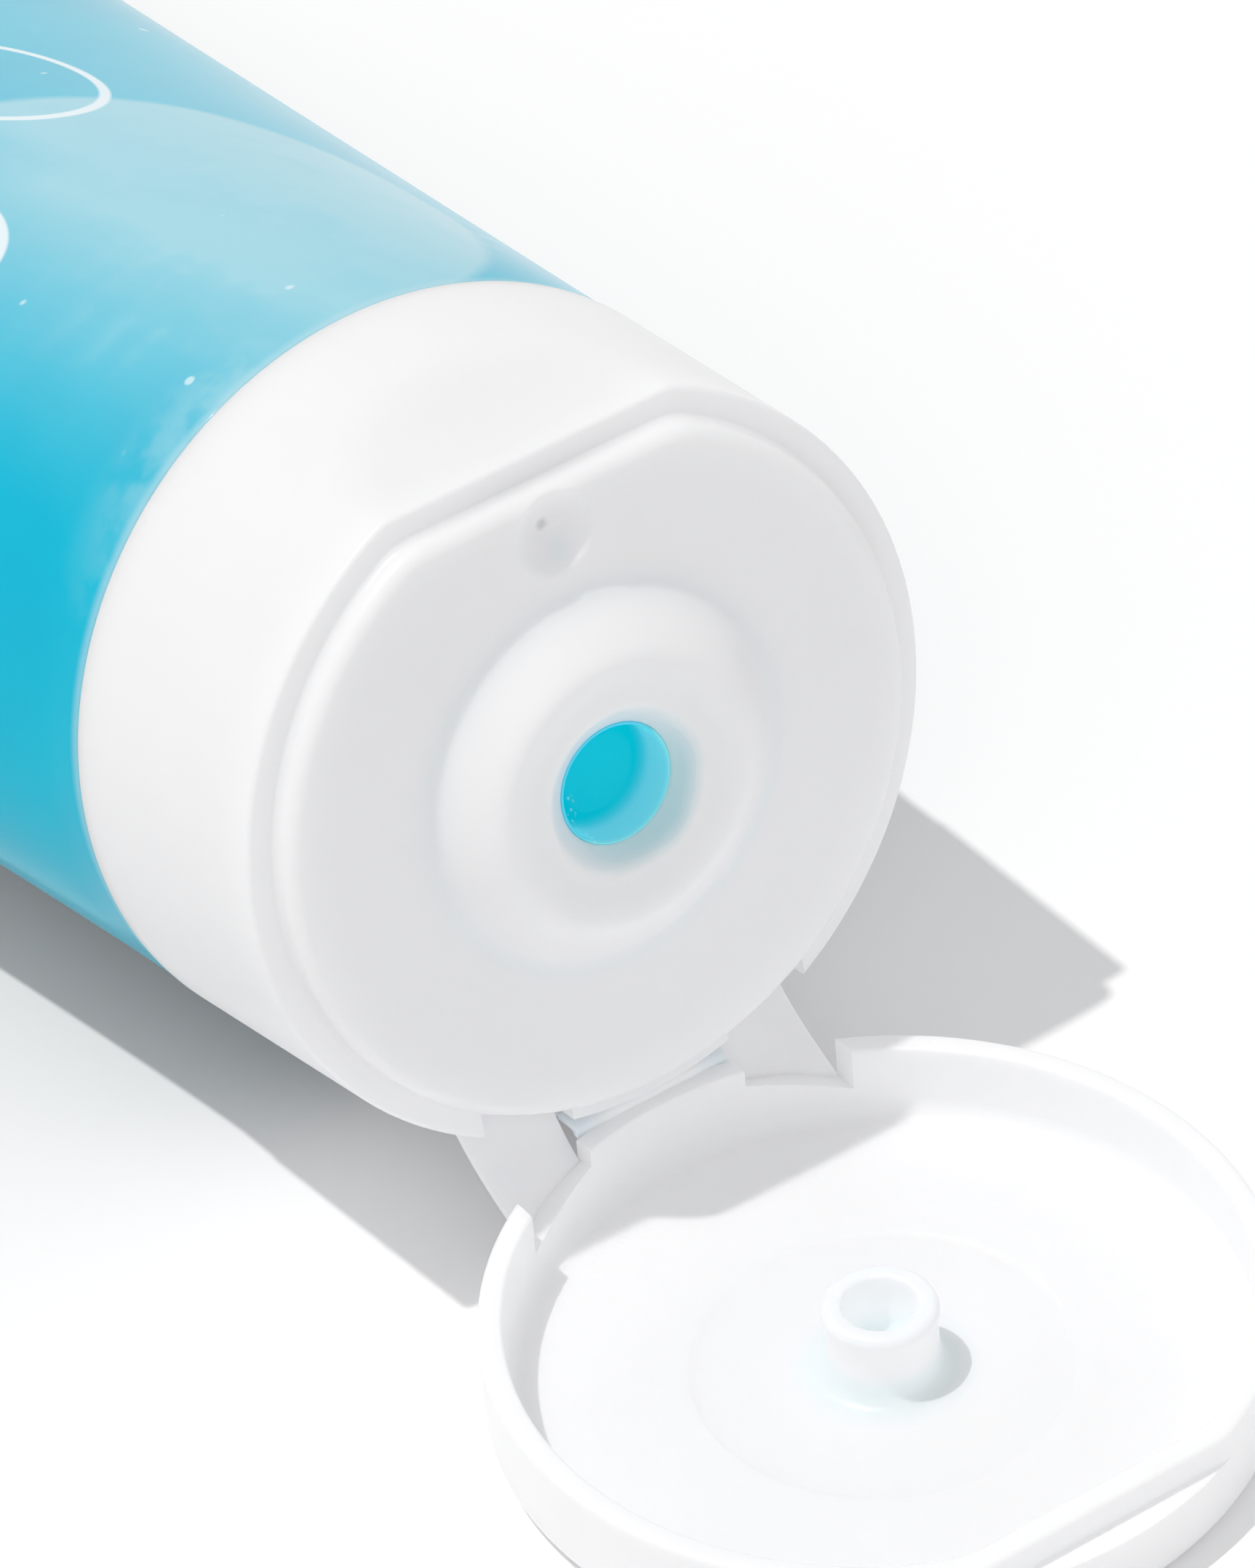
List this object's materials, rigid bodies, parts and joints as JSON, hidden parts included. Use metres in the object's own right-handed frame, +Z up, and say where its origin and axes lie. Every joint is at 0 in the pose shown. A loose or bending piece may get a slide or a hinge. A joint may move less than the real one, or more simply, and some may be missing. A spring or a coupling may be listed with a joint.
{
  "type": "squeeze tube",
  "caption": "Soft squeeze tube of gel with a crimped tail and a flip-top closure, its lid hinged open on two side webs and lying inside up.",
  "frame": {"origin": "on the ground, under the middle of the object's box", "axes": "+X along the tube towards the closure and the open lid, +Y across it, +Z up; the tube lies on its back with the thumb flat up and the hinge down"},
  "size_m": [0.2232, 0.0796, 0.0546],
  "materials": {
    "tinted_film": "glossy see-through cyan film",
    "natural_polyethylene": "milky, satin",
    "gel": "wet, clear cyan",
    "white_polypropylene": "white, satin gloss",
    "thin_polypropylene": "thin white, lets light through"
  },
  "bodies": {
    "tube": {"sleeve": "tinted_film", "shoulder": "natural_polyethylene", "gel": "gel", "cap_base": "white_polypropylene", "hinge_web_left": "thin_polypropylene", "hinge_web_right": "thin_polypropylene", "hinge_strip": "thin_polypropylene"},
    "lid": {"flip_lid": "white_polypropylene"}
  },
  "joints": [
    {"name": "lid_hinge", "type": "hinge", "parent": "tube", "child": "lid", "pos_m": [0.06214, 0, 0.00745], "axis": [0, 1, 0], "range_deg": [-100.37, 40], "deforming": ["hinge_web_left", "hinge_web_right", "hinge_strip"]}
  ]
}
